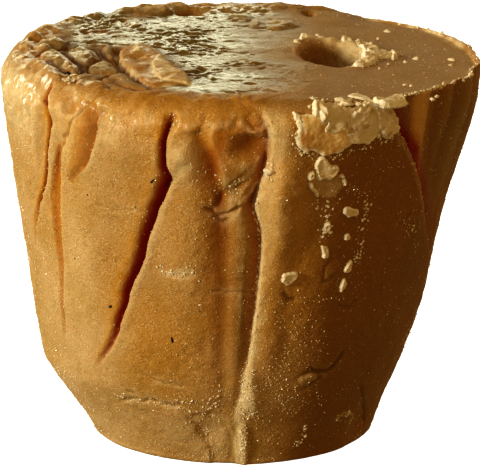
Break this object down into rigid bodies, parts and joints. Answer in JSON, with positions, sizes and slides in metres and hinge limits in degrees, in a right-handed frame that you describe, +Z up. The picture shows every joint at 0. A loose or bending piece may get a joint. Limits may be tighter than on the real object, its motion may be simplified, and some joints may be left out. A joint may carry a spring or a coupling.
{
  "type": "jaggery block",
  "caption": "Bucket-shaped block of set cane sugar standing on its narrow end, with a blind finger hole in its top.",
  "frame": {"origin": "middle of the bounding box's bottom face, on the surface that the narrow end rests on", "axes": "+Z up through the block, -Y the front with the long slot and the upright ridge, +X the right, where the finger hole is"},
  "size_m": [0.1192, 0.1192, 0.0985],
  "materials": {
    "cane_sugar": "waxy, finely grained"
  },
  "bodies": {
    "root": {"jaggery_block": "cane_sugar"}
  },
  "joints": []
}
